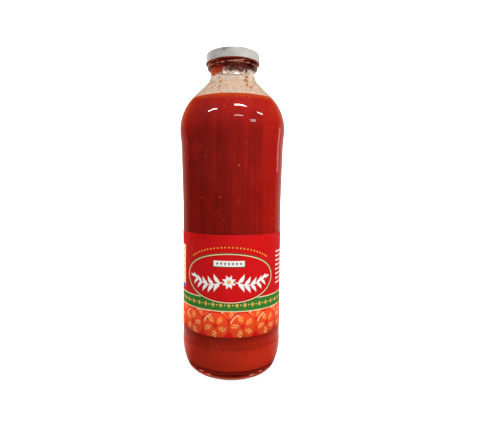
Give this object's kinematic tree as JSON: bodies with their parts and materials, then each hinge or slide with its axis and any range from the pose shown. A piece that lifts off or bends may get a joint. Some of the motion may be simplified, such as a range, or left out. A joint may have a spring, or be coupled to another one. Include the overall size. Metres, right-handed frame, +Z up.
{
  "type": "crushed tomato bottle",
  "caption": "Clear glass bottle of crushed tomato: straight label panel, round shoulder, short neck, twist-off metal cap and a wrap-around paper label.",
  "frame": {"origin": "on the table at the middle of the base", "axes": "+Z up along the bottle's axis; the front of the label looks along -Y and its glued overlap along +Y"},
  "size_m": [0.0869, 0.0868, 0.2621],
  "materials": {
    "clear_glass": "clear flint glass, fire-polished",
    "cap_enamel": "off-white enamel on tinplate, semi-gloss",
    "sealing_compound": "smooth, soft",
    "crushed_tomato": "wet coarse pulp with seeds",
    "label_paper": "coated label paper, satin"
  },
  "bodies": {
    "root": {"bottle": "clear_glass", "cap": "cap_enamel", "cap_seal": "sealing_compound", "crushed_tomato": "crushed_tomato", "label": "label_paper"}
  },
  "joints": []
}
